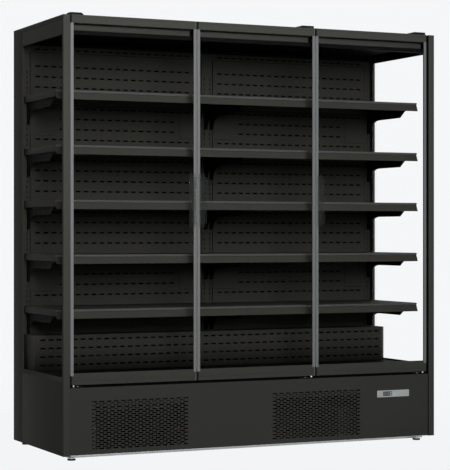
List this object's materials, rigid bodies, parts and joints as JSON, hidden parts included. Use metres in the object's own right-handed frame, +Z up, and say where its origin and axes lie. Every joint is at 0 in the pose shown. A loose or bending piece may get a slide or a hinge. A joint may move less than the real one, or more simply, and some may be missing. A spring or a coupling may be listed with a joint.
{
  "type": "glass door display chiller",
  "caption": "Upright refrigerated display cabinet with hinged glass doors, glazed end walls, two bays of shelves and a vented machine space in the base.",
  "frame": {"origin": "on the floor, under the middle of the cabinet's whole width and depth", "axes": "+Z up, -Y out of the glass doors, +X to the right seen from the front"},
  "size_m": [1.935, 0.727, 2.0075],
  "materials": {
    "painted_frame": "fine matt powder coat, warm charcoal",
    "painted_side": "fine matt powder coat, near black",
    "painted_inner": "satin powder coat, dark charcoal",
    "black_sheet": "matt black powder coat",
    "galvanised_steel": "dull galvanised sheet",
    "edge_metal": "satin anodised light edge strip",
    "coil_aluminium": "plain aluminium fins",
    "plate_silver": "satin silver",
    "pipe_copper": "bare copper tube",
    "zinc_steel": "zinc plated",
    "light_cover": "matt grey plastic",
    "led_lens": "opal lens",
    "black_plastic": "matt black plastic",
    "foot_plastic": "matt black pad with a dull steel nut",
    "fan_plastic": "matt dark grey plastic",
    "key_grey": "soft grey key",
    "display_black": "gloss dark display body",
    "box_grey": "matt grey plastic",
    "seal_rubber": "soft black seal",
    "handle_smoke": "smoky translucent plastic",
    "door_glass": "clear insulated glass",
    "side_glass": "clear insulated glass"
  },
  "bodies": {
    "cabinet": {"base_frame": "galvanised_steel", "levelling_feet": "foot_plastic", "end_frame_left": "painted_frame", "end_frame_right": "painted_frame", "end_glasses": "side_glass", "side_panels": "painted_side", "rear_wall": "painted_inner", "lower_rear_panel": "painted_side", "roof_panel": "painted_side", "canopy_liner": "black_sheet", "canopy_front": "painted_inner", "light_covers": "light_cover", "led_tubes": "led_lens", "air_honeycomb": "black_plastic", "shelf_uprights": "painted_inner", "back_panels_left": "painted_inner", "back_panels_right": "painted_inner", "riser_cover": "painted_inner", "fan_plate": "galvanised_steel", "evaporator_coil": "coil_aluminium", "insulated_floor": "painted_inner", "door_sill": "black_sheet", "deck_trays": "painted_inner", "shelves_left": "painted_inner", "shelves_right": "painted_inner", "shelf_brackets": "black_sheet", "ticket_rails": "painted_frame", "lower_front_panel": "painted_frame", "controller_plate": "plate_silver", "controller_display": "display_black", "compressor": "black_sheet", "condenser_coil": "black_sheet", "condenser_fan_shroud": "galvanised_steel", "drip_tray": "black_plastic", "electrical_box": "box_grey", "refrigerant_pipes": "pipe_copper", "evaporator_fan_motors": "black_sheet", "hinge_brackets": "black_plastic", "hinge_pins": "zinc_steel"},
    "left_door": {"left_door_rails": "painted_frame", "left_door_edges": "edge_metal", "left_door_glass": "door_glass", "left_door_seals": "seal_rubber", "left_door_handle": "handle_smoke"},
    "middle_door": {"middle_door_rails": "painted_frame", "middle_door_edges": "edge_metal", "middle_door_glass": "door_glass", "middle_door_seals": "seal_rubber", "middle_door_handle": "handle_smoke"},
    "right_door": {"right_door_rails": "painted_frame", "right_door_edges": "edge_metal", "right_door_glass": "door_glass", "right_door_seals": "seal_rubber", "right_door_handle": "handle_smoke"},
    "evaporator_fan_left_body": {"evaporator_fan_left": "fan_plastic"},
    "evaporator_fan_middle_body": {"evaporator_fan_middle": "fan_plastic"},
    "evaporator_fan_right_body": {"evaporator_fan_right": "fan_plastic"},
    "condenser_fan_body": {"condenser_fan": "fan_plastic"},
    "key_up_body": {"key_up": "key_grey"},
    "key_down_body": {"key_down": "key_grey"}
  },
  "joints": [
    {"name": "left_door_hinge", "type": "hinge", "parent": "cabinet", "child": "left_door", "pos_m": [-0.9135, -0.3255, 1.12], "axis": [0, 0, -1], "range_deg": [0, 90], "stiffness_Nm_per_rad": 3, "springref_deg": -20.05},
    {"name": "middle_door_hinge", "type": "hinge", "parent": "cabinet", "child": "middle_door", "pos_m": [0.2925, -0.3255, 1.12], "axis": [0, 0, 1], "range_deg": [0, 90], "stiffness_Nm_per_rad": 3, "springref_deg": -20.05},
    {"name": "right_door_hinge", "type": "hinge", "parent": "cabinet", "child": "right_door", "pos_m": [0.9135, -0.3255, 1.12], "axis": [0, 0, 1], "range_deg": [0, 90], "stiffness_Nm_per_rad": 3, "springref_deg": -20.05},
    {"name": "evaporator_fan_left_spin", "type": "hinge", "parent": "cabinet", "child": "evaporator_fan_left_body", "pos_m": [-0.6, 0.1865, 0.432], "axis": [0, 0, 1], "continuous": true},
    {"name": "evaporator_fan_middle_spin", "type": "hinge", "parent": "cabinet", "child": "evaporator_fan_middle_body", "pos_m": [0, 0.1865, 0.432], "axis": [0, 0, 1], "continuous": true},
    {"name": "evaporator_fan_right_spin", "type": "hinge", "parent": "cabinet", "child": "evaporator_fan_right_body", "pos_m": [0.6, 0.1865, 0.432], "axis": [0, 0, 1], "continuous": true},
    {"name": "condenser_fan_spin", "type": "hinge", "parent": "cabinet", "child": "condenser_fan_body", "pos_m": [-0.59375, -0.2305, 0.118], "axis": [0, 1, 0], "continuous": true},
    {"name": "key_up_press", "type": "slide", "parent": "cabinet", "child": "key_up_body", "axis": [0, 1, 0], "range_m": [0, 0.001], "stiffness_N_per_m": 400, "springref_m": -0.001},
    {"name": "key_down_press", "type": "slide", "parent": "cabinet", "child": "key_down_body", "axis": [0, 1, 0], "range_m": [0, 0.001], "stiffness_N_per_m": 400, "springref_m": -0.001}
  ]
}
